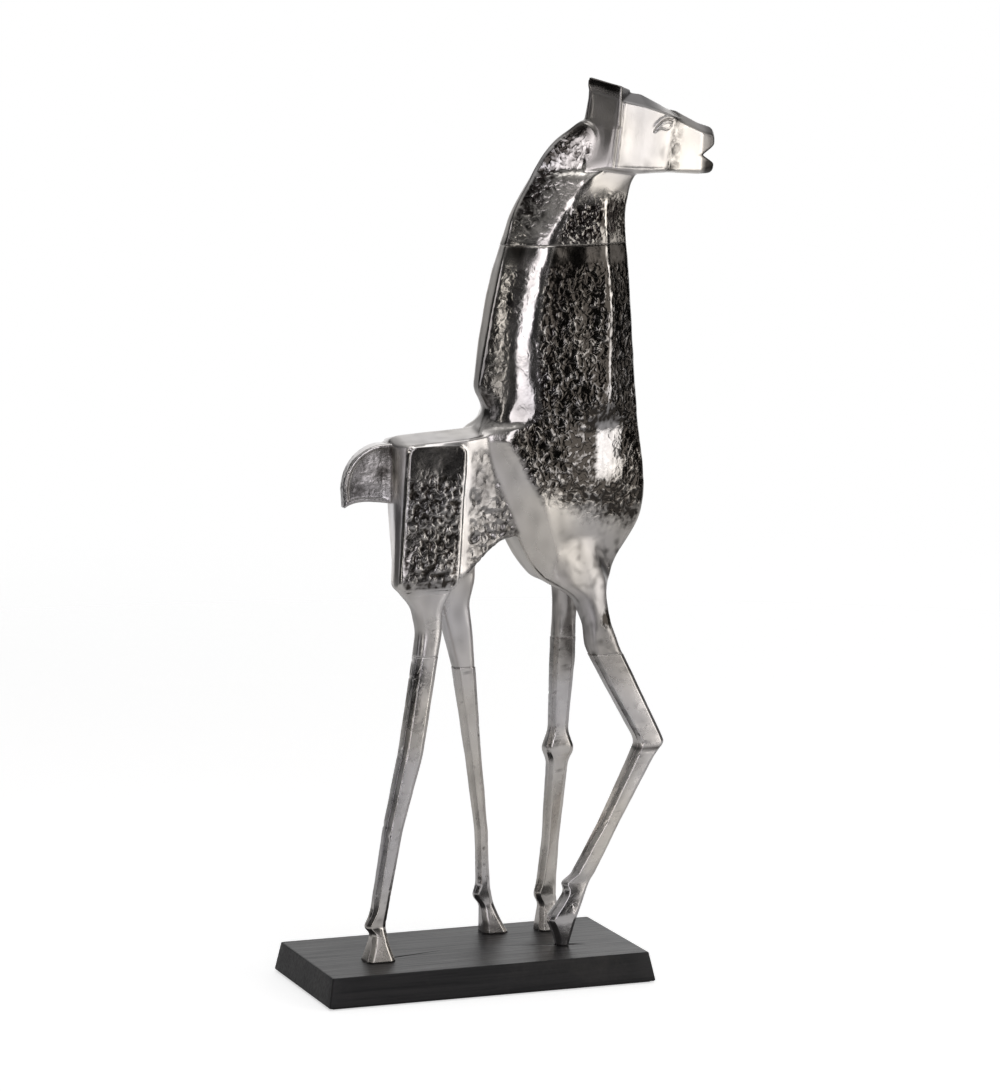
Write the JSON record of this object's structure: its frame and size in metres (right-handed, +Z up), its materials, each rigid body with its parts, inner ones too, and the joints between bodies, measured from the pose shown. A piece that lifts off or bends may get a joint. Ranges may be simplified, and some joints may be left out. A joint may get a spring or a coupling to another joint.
{
  "type": "horse sculpture",
  "caption": "Stylised faceted walking horse, cast aluminium with a nickel finish, legs screwed to a rectangular black wooden plinth with felt underneath.",
  "frame": {"origin": "centre of the resting face, on the underside of the felt", "axes": "+X the way the horse faces along the plinth, +Y the horse's left, +Z up"},
  "size_m": [0.389, 0.158, 0.786],
  "materials": {
    "cast_nickel": "nickel-plated sand casting, polished on the edges and smooth facets, wrinkled cast grain on the broad panels",
    "weld_nickel": "ground and plated weld, slightly lumpy",
    "black_wood": "black stain and satin lacquer, fine lengthwise grain",
    "black_felt": "pressed felt",
    "zinc_steel": "zinc plated"
  },
  "bodies": {
    "root": {"felt_sheet": "black_felt", "plinth": "black_wood", "screw_hind_right": "zinc_steel", "screw_hind_left": "zinc_steel", "screw_front_left": "zinc_steel", "screw_front_right": "zinc_steel", "washer_hind_right": "zinc_steel", "washer_hind_left": "zinc_steel", "washer_front_left": "zinc_steel", "washer_front_right": "zinc_steel", "body_casting": "cast_nickel", "head_casting": "cast_nickel", "tail_casting": "cast_nickel", "leg_hind_right": "cast_nickel", "leg_hind_left": "cast_nickel", "leg_front_left": "cast_nickel", "leg_front_right": "cast_nickel", "weld_neck": "weld_nickel", "weld_tail": "weld_nickel", "weld_leg_hind_right": "weld_nickel", "weld_leg_hind_left": "weld_nickel", "weld_leg_front_left": "weld_nickel", "weld_leg_front_right": "weld_nickel"}
  },
  "joints": []
}
